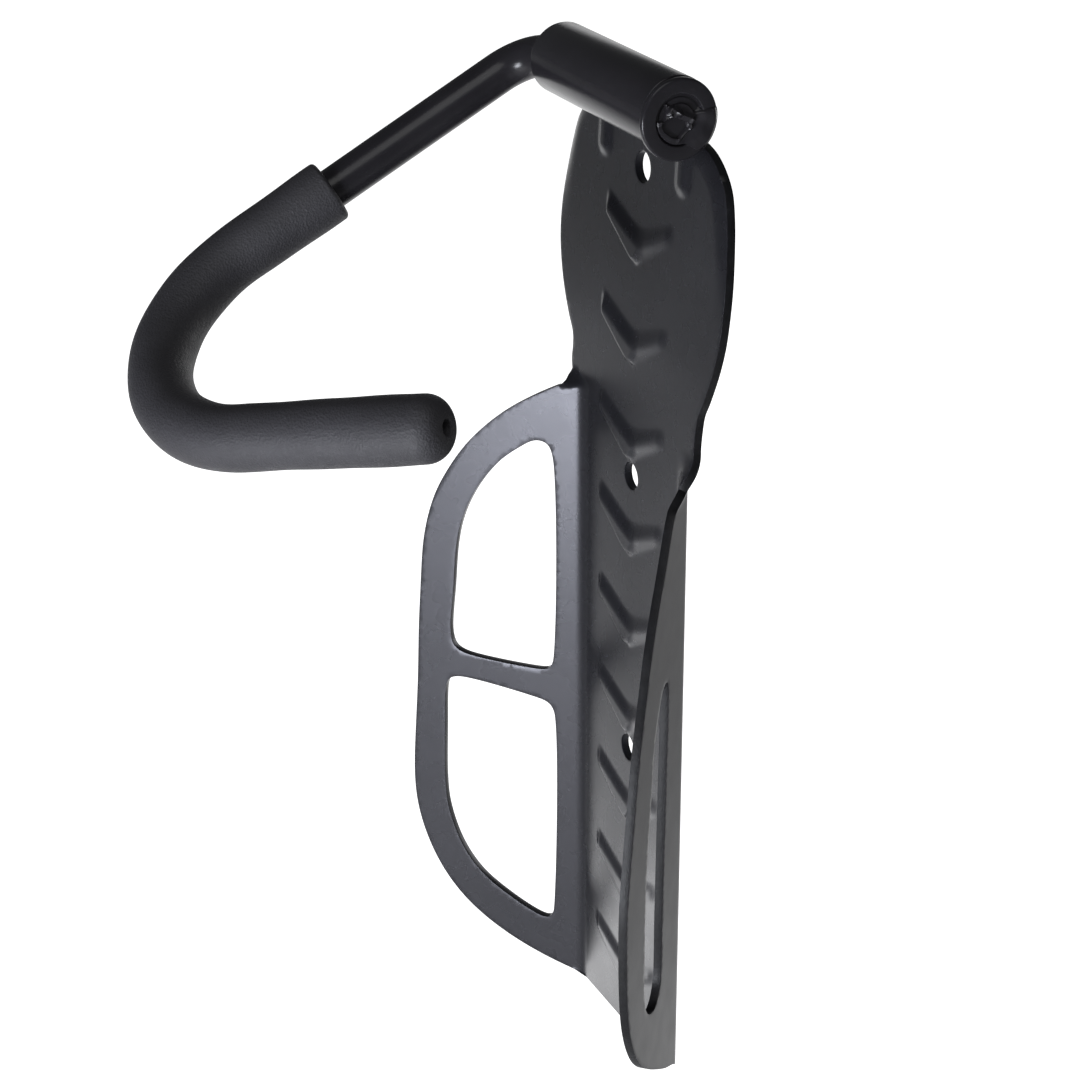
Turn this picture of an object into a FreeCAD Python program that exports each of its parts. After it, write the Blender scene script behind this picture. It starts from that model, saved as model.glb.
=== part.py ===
import FreeCAD, Part
import math
import os

import Sketcher
from FreeCAD import Placement, Rotation, Vector

# Bicycle wall rack: a pressed steel back plate with two flared wheel guards, a pivot
# tube welded to its head, and a bent steel hook that folds up about the tube.
# Frame: +Z up, the wall at y = 0, the bicycle on the -Y side, and the origin at the
# middle screw hole on the plate's back face. Sizes are in millimetres and degrees.

doc = FreeCAD.newDocument("bicycle_wall_rack")

# ---- driving dimensions ---------------------------------------------------------

SIZES = [
    ("sheet_thickness", 2.5),
    # plate heights, above and below the middle screw hole
    ("floor_bottom_z", -189.5),
    ("lean_start_z", 42.6),
    ("head_lean_deg", 2.85),
    ("head_top_z", 110.4),
    ("neck_z", 20.0),
    # screw holes
    ("upper_hole_z", 92.8),
    ("lower_hole_z", -90.0),
    ("upper_hole_radius", 4.6),
    ("tray_hole_radius", 4.25),
    # wheel guards
    ("guard_corner_x", 30.5),
    ("guard_bend_deg", 43.0),
    ("bend_radius", 7.0),
    ("left_bend_top_z", 17.0),
    ("right_bend_top_z", 8.8),
    # embossed chevrons and ribs
    ("chevron_pitch", 30.0),
    ("chevron_top_z", 79.5),
    ("chevron_half_width", 19.0),
    ("chevron_upper_drop", 4.6),
    ("chevron_upper_slope", 0.36),
    ("chevron_lower_drop", 14.8),
    ("chevron_lower_slope", 0.52),
    ("emboss_height", 2.2),
    ("emboss_wall", 1.6),
    ("rib_x", 23.4),
    ("rib_width", 6.0),
    ("rib_bottom_z", 89.0),
    ("rib_top_z", 104.0),
    # pivot tube
    ("barrel_y", -7.5),
    ("barrel_z", 116.6),
    ("barrel_radius", 10.35),
    ("barrel_bore_radius", 7.4),
    ("barrel_left_x", -36.0),
    ("barrel_right_x", 33.2),
    ("weld_radius", 2.6),
    ("weld_length", 22.0),
    ("weld_x", 15.0),
    # hook rod, which rests low in the bore of the tube
    ("pivot_z", 115.4),
    ("rod_radius", 6.0),
    ("rod_end_x", 34.5),
    ("elbow_x", -54.4),
    ("elbow_radius", 14.5),
    ("arm_droop_deg", 31.2),
    ("arm_twist_deg", 8.8),
    ("arm_splay_deg", 5.4),
    ("arm_length", 102.2),
    ("hook_radius", 43.8),
    ("hook_turn_deg", 134.0),
    ("tip_length", 64.4),
    ("rod_short_of_tip", 6.0),
    # end washer and the staked end of the rod that holds it
    ("washer_radius", 11.3),
    ("washer_hole_radius", 6.2),
    ("washer_recess_radius", 7.1),
    ("washer_recess_depth", 1.0),
    ("washer_left_x", 33.5),
    ("washer_thickness", 2.0),
    ("staked_radius", 6.8),
    ("staked_length", 0.7),
    # foam sleeve
    ("foam_radius", 9.2),
    ("foam_bore_radius", 6.1),
    ("foam_start", 72.3),
    ("foam_tip_round", 6.5),
    ("foam_dimple_radius", 2.7),
    ("foam_dimple_depth", 3.0),
]

sheet = doc.addObject("Spreadsheet::Sheet", "sizes")
for row, (alias, value) in enumerate(SIZES, start=1):
    sheet.set(f"A{row}", alias)
    sheet.set(f"B{row}", str(value))
    sheet.setAlias(f"B{row}", alias)
doc.recompute()


def size(alias):
    return float(sheet.get(alias))


def tan_deg(angle):
    return math.tan(math.radians(angle))


THICKNESS = size("sheet_thickness")
CORNER_X = size("guard_corner_x")
BEND_DEG = size("guard_bend_deg")
FOLD_SETBACK = size("bend_radius") * tan_deg(BEND_DEG / 2)
FLOOR_HALF = CORNER_X - FOLD_SETBACK
FLOOR_BOTTOM = size("floor_bottom_z")
NECK_Z = size("neck_z")
LEAN_Z = size("lean_start_z")
LEAN_DEG = size("head_lean_deg")
LEAN = tan_deg(LEAN_DEG)
HEAD_TOP = size("head_top_z")

# ---- helpers for bodies, sketches and features ----------------------------------


def new_body(label):
    body = doc.addObject("PartDesign::Body", label)
    body.Label = label
    body.Placement = Placement()
    return body


def origin_plane(body, role):
    return next(o for o in body.Origin.OriginFeatures if o.Role == role)


def new_sketch(body, name, role, offset=Placement()):
    """A sketch on one of the body's origin planes, moved by offset in that plane's axes."""
    sketch = body.newObject("Sketcher::SketchObject", name)
    sketch.AttachmentSupport = (origin_plane(body, role), [""])
    sketch.MapMode = "FlatFace"
    sketch.AttachmentOffset = offset
    return sketch


def add_polygon(sketch, points):
    corners = [Vector(x, y, 0) for x, y in points]
    for start, end in zip(corners, corners[1:] + corners[:1]):
        sketch.addGeometry(Part.LineSegment(start, end))


def add_outline(sketch, spans):
    """A closed outline of spans: each is the points of one smooth curve, or a straight
    line if it has two. A span starts where the one before it ends."""
    for span in spans:
        points = [Vector(x, y, 0) for x, y in span]
        if len(points) == 2:
            sketch.addGeometry(Part.LineSegment(points[0], points[1]))
            continue
        curve = Part.BSplineCurve()
        curve.interpolate(points)
        sketch.addGeometry(curve)


def add_circle(sketch, name, x, z_alias, radius_alias):
    """A screw hole whose radius and height are bound to the sheet."""
    z = size(z_alias) if z_alias else 0.0
    circle = sketch.addGeometry(Part.Circle(Vector(x, z, 0), Vector(0, 0, 1), size(radius_alias)))
    radius = sketch.addConstraint(Sketcher.Constraint("Radius", circle, size(radius_alias)))
    sketch.renameConstraint(radius, name + "_radius")
    sketch.setExpression(f"Constraints.{name}_radius", f"sizes.{radius_alias}")
    sketch.addConstraint(Sketcher.Constraint("PointOnObject", circle, 3, -2))
    if z_alias:
        height = sketch.addConstraint(Sketcher.Constraint("DistanceY", -1, 1, circle, 3, z))
        sketch.renameConstraint(height, name + "_height")
        sketch.setExpression(f"Constraints.{name}_height", f"sizes.{z_alias}")
    else:
        sketch.addConstraint(Sketcher.Constraint("PointOnObject", circle, 3, -1))


def add_pad(body, sketch, name, length, reverse=False):
    pad = body.newObject("PartDesign::Pad", name)
    pad.Profile = sketch
    pad.setExpression("Length", length)
    pad.Reversed = reverse
    return pad


def add_pocket(body, sketch, name, length=None, reverse=False):
    pocket = body.newObject("PartDesign::Pocket", name)
    pocket.Profile = sketch
    if length:
        pocket.setExpression("Length", length)
        pocket.Reversed = reverse
    else:
        pocket.Type = "ThroughAll"
        pocket.Midplane = True
    return pocket


# ---- back plate -----------------------------------------------------------------

# Head outline, right half, from the neck round to the top: a neck above the guards, a
# round cheek, and shoulders that drop beside the tab that reaches the pivot tube.
NECK_HALF = 38.4
NECK = [(NECK_HALF, NECK_Z), (NECK_HALF, 28.0)]
CHEEK = [(NECK_HALF, 28.0), (42.3, 37.2), (46.5, 46.5), (49.9, 62.0), (48.6, 82.0),
         (44.6, 97.0), (39.9, 101.8), (33.0, 105.2)]
SHOULDER = [(33.0, 105.2), (28.0, 105.2)]
TAB_SIDE = [(28.0, 105.2), (25.0, HEAD_TOP)]


def mirrored(span):
    return [(-x, z) for x, z in reversed(span)]


def front_outline():
    right = [
        [(FLOOR_HALF, FLOOR_BOTTOM), (FLOOR_HALF, NECK_Z)],
        [(FLOOR_HALF, NECK_Z), (NECK_HALF, NECK_Z)],
        NECK,
        CHEEK,
        SHOULDER,
        TAB_SIDE,
    ]
    top = [[(TAB_SIDE[-1][0], HEAD_TOP), (-TAB_SIDE[-1][0], HEAD_TOP)]]
    bottom = [[(-FLOOR_HALF, FLOOR_BOTTOM), (FLOOR_HALF, FLOOR_BOTTOM)]]
    return right + top + [mirrored(span) for span in reversed(right)] + bottom


def add_floor_and_head(body):
    """The flat floor of the tray and the head above it, which leans back a little."""
    beyond = HEAD_TOP + 5.0
    lean_back = (beyond - LEAN_Z) * LEAN
    side = new_sketch(body, "side_section", "YZ_Plane")
    add_polygon(side, [
        (-THICKNESS, FLOOR_BOTTOM), (-THICKNESS, LEAN_Z), (lean_back - THICKNESS, beyond),
        (lean_back, beyond), (0, LEAN_Z), (0, FLOOR_BOTTOM),
    ])
    blank = add_pad(body, side, "blank", "120 mm")
    blank.Midplane = True
    outline = new_sketch(body, "front_outline", "XZ_Plane")
    margin = 70.0
    add_polygon(outline, [(-margin, FLOOR_BOTTOM - 10), (margin, FLOOR_BOTTOM - 10),
                          (margin, beyond + 10), (-margin, beyond + 10)])
    add_outline(outline, front_outline())
    add_pocket(body, outline, "trim")


def add_bend(body, name, side, top_alias):
    """The rounded fold between the floor and a wheel guard. side is +1 right, -1 left."""
    inner = size("bend_radius")
    outer = inner + THICKNESS
    centre = Vector(side * FLOOR_HALF, -outer, 0)
    middle, end = math.radians(BEND_DEG / 2), math.radians(BEND_DEG)

    def on_arc(radius, angle):
        return centre + Vector(side * math.sin(angle), math.cos(angle), 0) * radius

    at_bottom = Placement(Vector(0, 0, FLOOR_BOTTOM), Rotation())
    sketch = new_sketch(body, name + "_section", "XY_Plane", at_bottom)
    sketch.addGeometry(Part.Arc(on_arc(inner, 0), on_arc(inner, middle), on_arc(inner, end)))
    sketch.addGeometry(Part.LineSegment(on_arc(inner, end), on_arc(outer, end)))
    sketch.addGeometry(Part.Arc(on_arc(outer, end), on_arc(outer, middle), on_arc(outer, 0)))
    sketch.addGeometry(Part.LineSegment(on_arc(outer, 0), on_arc(inner, 0)))
    add_pad(body, sketch, name, f"sizes.{top_alias} - sizes.floor_bottom_z")


def add_guard(body, name, side, outlines):
    """A wheel guard: a flat wing in its own plane. Each outline point is its distance out
    from the fold's corner and its height."""
    offset = Placement(Vector(side * CORNER_X, 0, THICKNESS), Rotation(Vector(0, 1, 0), -side * BEND_DEG))
    sketch = new_sketch(body, name + "_outline", "XZ_Plane", offset)
    for outline in outlines:
        add_outline(sketch, [[(side * out, z) for out, z in span] for span in outline])
    add_pad(body, sketch, name, "sizes.sheet_thickness", reverse=True)


FOLD = FOLD_SETBACK
LEFT_TOP = size("left_bend_top_z")
RIGHT_TOP = size("right_bend_top_z")

LEFT_GUARD = [
    [(FOLD, FLOOR_BOTTOM), (FOLD, LEFT_TOP)],
    [(FOLD, LEFT_TOP), (7.6, LEFT_TOP)],
    [(7.6, LEFT_TOP), (20.7, 10.0), (36.5, -3.2), (46.0, -16.6), (52.8, -32.7), (55.6, -54.0)],
    [(55.6, -54.0), (59.6, -126.2)],
    [(59.6, -126.2), (58.7, -137.8), (55.0, -150.4), (49.4, -161.3), (41.7, -170.5), (31.4, -178.0)],
    [(31.4, -178.0), (10.6, -187.0)],
    [(10.6, -187.0), (FOLD, FLOOR_BOTTOM)],
]
LEFT_UPPER_WINDOW = [
    [(10.6, -76.0), (10.6, -8.0)],
    [(10.6, -8.0), (12.0, -4.0), (16.0, -3.0), (28.0, -12.0), (38.0, -26.0), (43.0, -42.0), (44.3, -60.0)],
    [(44.3, -60.0), (45.5, -73.0)],
    [(45.5, -73.0), (44.0, -77.5), (39.0, -79.0)],
    [(39.0, -79.0), (15.0, -79.5)],
    [(15.0, -79.5), (11.6, -79.0), (10.6, -76.0)],
]
LEFT_LOWER_WINDOW = [
    [(10.2, -168.0), (10.2, -96.0)],
    [(10.2, -96.0), (11.6, -92.0), (15.0, -91.0)],
    [(15.0, -91.0), (42.0, -90.0)],
    [(42.0, -90.0), (46.0, -91.0), (47.4, -95.0)],
    [(47.4, -95.0), (48.4, -126.0)],
    [(48.4, -126.0), (46.0, -143.0), (37.0, -159.0), (24.0, -168.0), (14.0, -171.5), (11.0, -171.0),
     (10.2, -168.0)],
]
RIGHT_GUARD = [
    [(FOLD, FLOOR_BOTTOM), (FOLD, RIGHT_TOP)],
    [(FOLD, RIGHT_TOP), (11.3, RIGHT_TOP)],
    [(11.3, RIGHT_TOP), (22.0, -4.9), (36.4, -25.8), (47.3, -51.3), (56.1, -84.6), (58.8, -104.0)],
    [(58.8, -104.0), (58.2, -122.0), (55.2, -138.0), (48.6, -149.5), (39.7, -159.0), (22.4, -173.4)],
    [(22.4, -173.4), (FOLD, FLOOR_BOTTOM)],
]
RIGHT_SLOT = [
    [(21.0, -145.0), (18.5, -44.0)],
    [(18.5, -44.0), (24.2, -43.5)],
    [(24.2, -43.5), (33.0, -58.0), (38.4, -88.0), (39.4, -118.0), (38.9, -139.0)],
    [(38.9, -139.0), (36.4, -146.5), (30.0, -150.0), (24.0, -149.0), (21.0, -145.0)],
]


def chevron(top, inset=0.0):
    """A V that points down and is deepest in the middle. inset narrows it all round, for the
    hollow behind it."""
    half = size("chevron_half_width") - inset
    upper = top - size("chevron_upper_drop") - inset
    lower = top - size("chevron_lower_drop") + inset
    upper_end = upper + size("chevron_upper_slope") * half
    lower_end = lower + size("chevron_lower_slope") * half
    return [(-half, upper_end), (0, upper), (half, upper_end),
            (half, lower_end), (0, lower), (-half, lower_end)]


def rib(side, inset=0.0):
    x, half = side * size("rib_x"), size("rib_width") / 2 - inset
    bottom, top = size("rib_bottom_z") + inset, size("rib_top_z") - inset
    return [(x - half, bottom), (x + half, bottom), (x + half, top), (x - half, top)]


def emboss(body, name, shapes, hollows, turn, pivot_z):
    """Pushes shapes out of the sheet from behind: a pad in front and a pocket at the back.
    turn leans the sketches back about the line where the head starts to lean."""
    inside = 1.0
    leaned = Placement(Vector(0, pivot_z, 0), Rotation(Vector(1, 0, 0), -turn))
    in_front = leaned * Placement(Vector(0, -pivot_z, inside), Rotation())
    behind = leaned * Placement(Vector(0, -pivot_z, -inside), Rotation())
    raised = new_sketch(body, name + "_raised", "XZ_Plane", in_front)
    for shape in shapes:
        add_polygon(raised, shape)
    add_pad(body, raised, name + "_front", f"sizes.sheet_thickness + sizes.emboss_height - {inside}")
    sunk = new_sketch(body, name + "_sunk", "XZ_Plane", behind)
    for hollow in hollows:
        add_polygon(sunk, hollow)
    add_pocket(body, sunk, name + "_back", f"sizes.emboss_height + {inside}", reverse=True)


HEAD_CHEVRONS = 2
TRAY_CHEVRONS = 7


def build_back_plate():
    body = new_body("back_plate")
    add_floor_and_head(body)
    add_bend(body, "left_bend", -1, "left_bend_top_z")
    add_bend(body, "right_bend", 1, "right_bend_top_z")
    add_guard(body, "left_guard", -1, [LEFT_GUARD, LEFT_UPPER_WINDOW, LEFT_LOWER_WINDOW])
    add_guard(body, "right_guard", 1, [RIGHT_GUARD, RIGHT_SLOT])
    wall = size("emboss_wall")
    top, pitch = size("chevron_top_z"), size("chevron_pitch")
    head_tops = [top - pitch * i for i in range(HEAD_CHEVRONS)]
    emboss(body, "head_emboss",
           [chevron(z) for z in head_tops] + [rib(-1), rib(1)],
           [chevron(z, wall) for z in head_tops] + [rib(-1, wall), rib(1, wall)],
           LEAN_DEG, LEAN_Z)
    tray_tops = [top - pitch * (HEAD_CHEVRONS + i) for i in range(TRAY_CHEVRONS)]
    emboss(body, "tray_emboss",
           [chevron(z) for z in tray_tops],
           [chevron(z, wall) for z in tray_tops],
           0.0, 0.0)
    holes = new_sketch(body, "screw_holes", "XZ_Plane")
    add_circle(holes, "upper", 0, "upper_hole_z", "upper_hole_radius")
    add_circle(holes, "middle", 0, None, "tray_hole_radius")
    add_circle(holes, "lower", 0, "lower_hole_z", "tray_hole_radius")
    add_pocket(body, holes, "screw_hole_cut")
    return body


# ---- pivot tube, welds and washer -----------------------------------------------


def ring_along_x(body, name, outer_alias, inner_alias, centre_z_alias, left_x, length):
    """A ring or tube whose axis runs along X, with its circles bound to the sheet."""
    sketch = new_sketch(body, name + "_section", "YZ_Plane", Placement(Vector(0, 0, left_x), Rotation()))
    y, z = size("barrel_y"), size(centre_z_alias)
    for label, alias in (("outer", outer_alias), ("inner", inner_alias)):
        circle = sketch.addGeometry(Part.Circle(Vector(y, z, 0), Vector(0, 0, 1), size(alias)))
        named = (
            (label + "_radius", Sketcher.Constraint("Radius", circle, size(alias)), alias),
            (label + "_across", Sketcher.Constraint("DistanceX", -1, 1, circle, 3, y), "barrel_y"),
            (label + "_up", Sketcher.Constraint("DistanceY", -1, 1, circle, 3, z), centre_z_alias),
        )
        for constraint_name, constraint, source in named:
            index = sketch.addConstraint(constraint)
            sketch.renameConstraint(index, constraint_name)
            sketch.setExpression(f"Constraints.{constraint_name}", f"sizes.{source}")
    return add_pad(body, sketch, name, length)


def build_pivot_barrel():
    body = new_body("pivot_barrel")
    ring_along_x(body, "tube", "barrel_radius", "barrel_bore_radius", "barrel_z",
                 size("barrel_left_x"), "sizes.barrel_right_x - sizes.barrel_left_x")
    return body


def build_end_washer():
    body = new_body("end_washer")
    ring_along_x(body, "washer", "washer_radius", "washer_hole_radius", "pivot_z",
                 size("washer_left_x"), "sizes.washer_thickness")
    face_x = size("washer_left_x") + size("washer_thickness")
    sketch = new_sketch(body, "recess_outline", "YZ_Plane", Placement(Vector(0, 0, face_x), Rotation()))
    centre = Vector(size("barrel_y"), size("pivot_z"), 0)
    sketch.addGeometry(Part.Circle(centre, Vector(0, 0, 1), size("washer_recess_radius")))
    add_pocket(body, sketch, "recess", "sizes.washer_recess_depth")
    return body


def head_front_y(z):
    return (z - LEAN_Z) * LEAN - THICKNESS


def build_weld_beads(plate):
    """Two weld runs along the top edge of the plate, behind the tube. Each is a round bead
    less the tube and the plate that it lies against."""
    solids = []
    radius, length = size("weld_radius"), size("weld_length")
    y, z = head_front_y(HEAD_TOP) + THICKNESS / 2, HEAD_TOP + 0.4
    for side in (-1, 1):
        start = Vector(side * size("weld_x") - length / 2, y, z)
        bead = Part.makeCylinder(radius, length, start, Vector(1, 0, 0))
        tube_start = Vector(start.x - length / 2, size("barrel_y"), size("barrel_z"))
        tube = Part.makeCylinder(size("barrel_radius"), 2 * length, tube_start, Vector(1, 0, 0))
        solids += bead.cut(tube).cut(plate.Shape).Solids
    beads = doc.addObject("Part::Feature", "weld_beads")
    beads.Shape = Part.makeCompound(solids)
    beads.Placement = Placement()
    return beads


# ---- hook rod and foam sleeve ---------------------------------------------------

AXIS_Y = size("barrel_y")
PIVOT_Z = size("pivot_z")
ELBOW = Vector(size("elbow_x"), AXIS_Y, PIVOT_Z)

# The hook lies in one plane. up_slope points back up the arm towards the wall, and across
# runs from the arm towards the tip.
DROOP = Rotation(Vector(1, 0, 0), size("arm_droop_deg"))
TWIST = Rotation(Vector(0, 1, 0), size("arm_twist_deg"))
HOOK_PLANE = DROOP.multiply(TWIST)
ACROSS = HOOK_PLANE.multVec(Vector(1, 0, 0))
UP_SLOPE = HOOK_PLANE.multVec(Vector(0, 1, 0))


def heading(degrees):
    """A direction in the hook's plane, turned from straight down the arm's slope."""
    angle = math.radians(degrees)
    return ACROSS * math.sin(angle) - UP_SLOPE * math.cos(angle)


ARM = heading(-size("arm_splay_deg"))
TIP = heading(size("hook_turn_deg") - size("arm_splay_deg"))
BEND_START = ELBOW + ARM * size("arm_length")
TO_CENTRE = heading(90 - size("arm_splay_deg"))
BEND_CENTRE = BEND_START + TO_CENTRE * size("hook_radius")


def on_bend(degrees):
    """The point that far round the hook's bend."""
    return BEND_CENTRE - heading(90 - size("arm_splay_deg") + degrees) * size("hook_radius")


BEND_END = on_bend(size("hook_turn_deg"))
TIP_END = BEND_END + TIP * size("tip_length")


def arc_corner(before, corner, after, radius):
    """The arc that rounds a corner, as its start, middle and end."""
    back = (before - corner).normalize()
    ahead = (after - corner).normalize()
    half = back.getAngle(ahead) / 2
    middle_line = (back + ahead).normalize()
    tangent = radius / math.tan(half)
    centre = corner + middle_line * (radius / math.sin(half))
    return corner + back * tangent, centre - middle_line * radius, corner + ahead * tangent


def hook_wire(start, rod_to):
    """The rod's centre line from start, on the pivot axis or on the arm, to rod_to."""
    edges = []
    point = start
    if abs(start.z - PIVOT_Z) < 1e-6:
        first, middle, last = arc_corner(start, ELBOW, BEND_START, size("elbow_radius"))
        edges += [Part.LineSegment(start, first), Part.Arc(first, middle, last)]
        point = last
    half_turn = on_bend(size("hook_turn_deg") / 2)
    edges += [Part.LineSegment(point, BEND_START), Part.Arc(BEND_START, half_turn, BEND_END),
              Part.LineSegment(BEND_END, rod_to)]
    return Part.Wire([edge.toShape() for edge in edges])


def swept_round(wire, radius):
    start = wire.OrderedEdges[0]
    origin, along = start.valueAt(start.FirstParameter), start.tangentAt(start.FirstParameter)
    section = Part.Wire([Part.makeCircle(radius, origin, along)])
    return wire.makePipeShell([section], True, True)


def check_sweep(name, shape, wire, radius):
    """A sweep that folds on itself loses volume, so it is compared with area times length."""
    expected = math.pi * radius ** 2 * wire.Length
    print(f"{name}: volume {shape.Volume:.0f}, section times length {expected:.0f}")
    if abs(shape.Volume / expected - 1) > 0.02:
        raise RuntimeError(name + " sweep has the wrong volume")


ROD_WIRE = hook_wire(Vector(size("rod_end_x"), AXIS_Y, PIVOT_Z), TIP_END - TIP * size("rod_short_of_tip"))
FOAM_WIRE = hook_wire(ELBOW + ARM * size("foam_start"), TIP_END)


def build_hook_rod():
    """A round bar along the pivot axis, bent at the elbow and again at the hook, with its
    end staked over in the washer's recess."""
    bar = swept_round(ROD_WIRE, size("rod_radius"))
    check_sweep("hook_rod", bar, ROD_WIRE, size("rod_radius"))
    staked = Part.makeCylinder(size("staked_radius"), size("staked_length"),
                               Vector(size("rod_end_x"), AXIS_Y, PIVOT_Z), Vector(1, 0, 0))
    rod = doc.addObject("Part::Feature", "hook_rod")
    rod.Shape = bar.fuse(staked).removeSplitter()
    rod.Placement = Placement()
    return rod


def build_foam_sleeve():
    """The foam grip: a thick sleeve with a rounded, dimpled end."""
    radius = size("foam_radius")
    outside = swept_round(FOAM_WIRE, radius)
    check_sweep("foam_sleeve", outside, FOAM_WIRE, radius)
    end_edges = [edge for edge in outside.Edges
                 if edge.Closed and edge.BoundBox.Center.distanceToPoint(TIP_END) < 1.0]
    rounded = outside.makeFillet(size("foam_tip_round"), end_edges[:1])
    bore = swept_round(ROD_WIRE, size("foam_bore_radius"))
    dimple_start = TIP_END - TIP * size("foam_dimple_depth")
    dimple = Part.makeCylinder(size("foam_dimple_radius"), 2 * size("foam_dimple_depth"), dimple_start, TIP)
    foam = doc.addObject("Part::Feature", "foam_sleeve")
    foam.Shape = rounded.cut(bore).cut(dimple)
    foam.Placement = Placement()
    return foam


# ---- build, check and write -----------------------------------------------------

back_plate = build_back_plate()
pivot_barrel = build_pivot_barrel()
end_washer = build_end_washer()
doc.recompute()
weld_beads = build_weld_beads(back_plate)
hook_rod = build_hook_rod()
foam_sleeve = build_foam_sleeve()
doc.recompute()

for item in doc.Objects:
    if "Invalid" in item.State or "Error" in item.State:
        raise RuntimeError(f"{item.Name} is {item.State}")

os.makedirs("parts", exist_ok=True)
for part in (back_plate, pivot_barrel, weld_beads, hook_rod, end_washer, foam_sleeve):
    shape = part.Shape
    if shape.isNull() or not shape.isValid():
        raise RuntimeError(part.Label + " has no valid shape")
    print(f"{part.Label}: {len(shape.Solids)} solid(s), {shape.Volume / 1000:.1f} cm3, {shape.BoundBox}")
    shape.exportStep(f"parts/{part.Label}.step")
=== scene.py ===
import math

import bmesh
import bpy
import numpy as np
from mathutils import Euler, Matrix, Vector
from mathutils.geometry import delaunay_2d_cdt


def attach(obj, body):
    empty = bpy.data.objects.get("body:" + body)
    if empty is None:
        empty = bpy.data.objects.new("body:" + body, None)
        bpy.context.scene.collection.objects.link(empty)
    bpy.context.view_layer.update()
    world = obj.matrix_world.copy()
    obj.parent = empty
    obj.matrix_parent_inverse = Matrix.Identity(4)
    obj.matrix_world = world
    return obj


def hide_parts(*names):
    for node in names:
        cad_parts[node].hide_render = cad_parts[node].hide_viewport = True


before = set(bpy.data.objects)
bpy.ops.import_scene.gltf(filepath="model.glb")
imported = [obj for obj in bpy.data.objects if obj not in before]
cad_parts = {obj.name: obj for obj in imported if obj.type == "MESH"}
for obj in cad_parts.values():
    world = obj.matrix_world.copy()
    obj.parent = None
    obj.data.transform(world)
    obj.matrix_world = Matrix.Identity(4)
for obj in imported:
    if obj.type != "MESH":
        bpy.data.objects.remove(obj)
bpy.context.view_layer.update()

# Lengths in this script are in millimetres until MM turns a finished mesh into metres.
MM = 0.001

# ---- sizes -----------------------------------------------------------------------------------
# x runs across the wall, y into it and z up it. The origin is in the middle screw hole. Most sizes
# are the CAD model's. Those of the chevrons, ribs and foam tip follow the photo more closely.

SHEET = 2.5
CORNER_X = 30.5
BEND_DEG = 43.0
BEND_R = 7.0
SETBACK = BEND_R * math.tan(math.radians(BEND_DEG / 2))
FLOOR_HALF = CORNER_X - SETBACK
BEND_LENGTH = BEND_R * math.radians(BEND_DEG)
FLOOR_BOTTOM = -189.5
LEAN_Z = 42.6
LEAN = math.tan(math.radians(2.85))
LEAN_ROUND = 6.0

CHEVRON_TOP = 79.5
CHEVRON_PITCH = 30.0
CHEVRON_COUNT = 9
CHEVRON_HALF = 20.3
CHEVRON_LOW, CHEVRON_LOW_SLOPE = -15.9, 0.58
CHEVRON_HIGH, CHEVRON_HIGH_SLOPE = -4.6, 0.36
EMBOSS = 1.6
RIB_SHARE = 0.75
RIB_X = 23.4
RIB_HALF = 3.0
RIB_BOTTOM, RIB_TOP = 91.5, 113.0
HOLES = [(92.8, 4.6), (0.0, 4.25), (-90.0, 4.25)]  # height and radius

AXIS_Y = -7.5
BARREL_Z = 116.6
PIVOT_Z = 115.4
BARREL_R, BORE_R = 10.35, 7.4
BARREL_LEFT, BARREL_RIGHT = -36.0, 33.2
WASHER_R = 11.3
WASHER_LEFT, WASHER_RIGHT = 33.5, 35.5
RECESS_R = 7.1
ROD_R = 6.0
ELBOW_X = -54.4
ELBOW_R = 14.5
DROOP_DEG, TWIST_DEG, SPLAY_DEG = 31.2, 8.8, 5.4
ARM_LENGTH = 102.2
HOOK_R = 43.8
HOOK_TURN_DEG = 134.0
TIP_LENGTH = 64.4
FOAM_R = 9.2
FOAM_START = 72.3
ROD_INSIDE_TIP = 7.0


# ---- small helpers -----------------------------------------------------------------------


def smoothstep(low, high, value):
    t = np.clip((value - low) / (high - low), 0.0, 1.0)
    return t * t * (3.0 - 2.0 * t)


def finish_mesh(name, points, faces, material, smooth_deg=40.0):
    """A mesh object from points in millimetres, smooth but for edges sharper than smooth_deg."""
    mesh = bpy.data.meshes.new(name)
    mesh.from_pydata([tuple(p) for p in np.asarray(points) * MM], [], faces)
    mesh.validate()
    piece = bpy.data.objects.new(name, mesh)
    bpy.context.scene.collection.objects.link(piece)
    piece.data.materials.append(material)
    shade(piece, smooth_deg)
    return piece


def shade(piece, smooth_deg):
    mesh = piece.data
    work = bmesh.new()
    work.from_mesh(mesh)
    limit = math.radians(smooth_deg)
    for face in work.faces:
        face.smooth = True
    for edge in work.edges:
        edge.smooth = not (len(edge.link_faces) == 2 and edge.calc_face_angle(0.0) > limit)
    work.to_mesh(mesh)
    work.free()


def apply_modifiers(piece):
    graph = bpy.context.evaluated_depsgraph_get()
    made = bpy.data.meshes.new_from_object(piece.evaluated_get(graph))
    old = piece.data
    piece.modifiers.clear()
    piece.data = made
    made.name = piece.name
    bpy.data.meshes.remove(old)


def ring_faces(rings, sides, closed_start, closed_end):
    """Quads between rings of points, each with as many points as sides."""
    faces = []
    for r in range(rings - 1):
        for s in range(sides):
            t = (s + 1) % sides
            faces.append((r * sides + s, r * sides + t, (r + 1) * sides + t, (r + 1) * sides + s))
    if closed_start:
        faces.append(tuple(range(sides - 1, -1, -1)))
    if closed_end:
        faces.append(tuple((rings - 1) * sides + s for s in range(sides)))
    return faces


# ---- materials -----------------------------------------------------------------------------


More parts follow.
